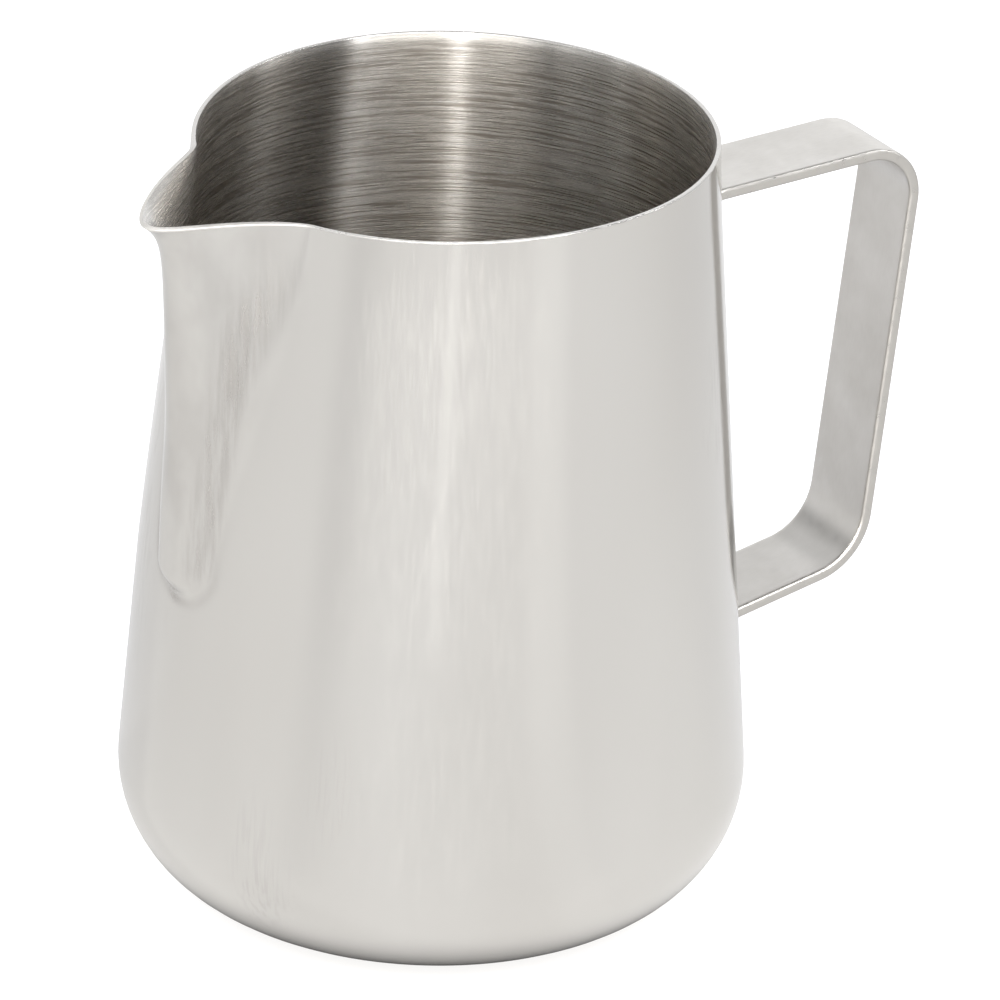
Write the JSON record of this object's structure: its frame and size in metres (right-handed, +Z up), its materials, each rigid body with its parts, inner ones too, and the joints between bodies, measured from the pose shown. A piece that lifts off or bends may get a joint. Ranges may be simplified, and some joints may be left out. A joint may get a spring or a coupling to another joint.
{
  "type": "milk frothing pitcher",
  "caption": "Open stainless cup with a low belly, a pressed spout with a curled lip, and a welded flat strap handle.",
  "frame": {"origin": "middle of the base, on the surface the pitcher stands on", "axes": "+Z up, +X through the handle, the spout points along -X, and the XZ plane is the plane of symmetry"},
  "size_m": [0.1308, 0.0942, 0.12],
  "materials": {
    "cup_steel": "semi-polished outside, brushed round the inside",
    "strap_steel": "satin",
    "weld_steel": "dull"
  },
  "bodies": {
    "root": {"cup_body": "cup_steel", "handle_strap": "strap_steel", "upper_spot_welds": "weld_steel", "lower_spot_welds": "weld_steel"}
  },
  "joints": []
}
